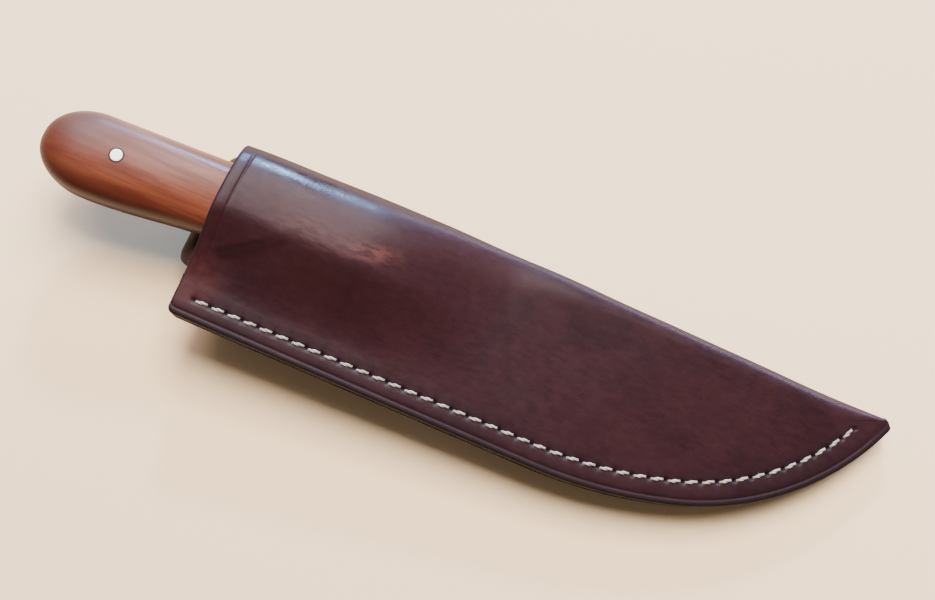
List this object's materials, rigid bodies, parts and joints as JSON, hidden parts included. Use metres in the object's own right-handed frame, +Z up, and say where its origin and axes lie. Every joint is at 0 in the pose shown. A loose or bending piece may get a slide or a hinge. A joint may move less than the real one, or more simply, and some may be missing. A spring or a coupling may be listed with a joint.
{
  "type": "garden knife in belt sheath",
  "caption": "Hori hori garden knife with a pinned wooden handle, sliding in a stitched, folded leather belt sheath.",
  "frame": {"origin": "middle of the flat underside of the belt loop, which the sheathed knife lies on", "axes": "+X along the sheath from its mouth toward its tip, +Y toward the folded spine, +Z up from the surface it lies on; the knife's own plane is pitched 4.5 degrees, tip down"},
  "size_m": [0.3133, 0.065, 0.0382],
  "materials": {
    "sheath_leather": "oiled, semi-gloss, mottled oxblood brown",
    "welt_leather": "burnished dark edge",
    "thread": "waxed off-white cord",
    "blade_steel": "satin ground",
    "handle_wood": "oiled satin, reddish brown",
    "pin_steel": "polished flush"
  },
  "bodies": {
    "sheath": {"sheath_leather": "sheath_leather", "sheath_welt": "welt_leather", "edge_thread": "thread", "loop_thread": "thread"},
    "knife": {"blade": "blade_steel", "handle_scale_front": "handle_wood", "handle_scale_back": "handle_wood", "handle_pins": "pin_steel"}
  },
  "joints": [
    {"name": "knife_draw", "type": "slide", "parent": "sheath", "child": "knife", "axis": [-0.9969, 0, 0.0785], "range_m": [0, 0.24]}
  ]
}
